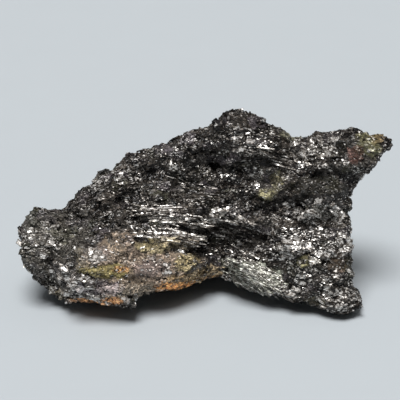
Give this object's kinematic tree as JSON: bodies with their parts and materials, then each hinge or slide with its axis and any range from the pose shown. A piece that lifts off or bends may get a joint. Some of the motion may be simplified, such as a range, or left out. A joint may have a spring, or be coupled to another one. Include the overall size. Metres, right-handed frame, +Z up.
{
  "type": "nuummite specimen",
  "caption": "Rough hand specimen of dark glittering amphibole rock with a bulging lobe at one end and a forked fin at the other, standing on its broken lower edge.",
  "frame": {"origin": "on the surface that the rock stands on, under the middle of its bounding box", "axes": "+Z up; +X along the rock from its blunt end to its forked end; the display face looks to -Y"},
  "size_m": [0.092, 0.0444, 0.0451],
  "materials": {
    "amphibole_rock": "rough broken rock of glittering dark grey blades, with brown, olive and rust stains"
  },
  "bodies": {
    "root": {"specimen": "amphibole_rock"}
  },
  "joints": []
}
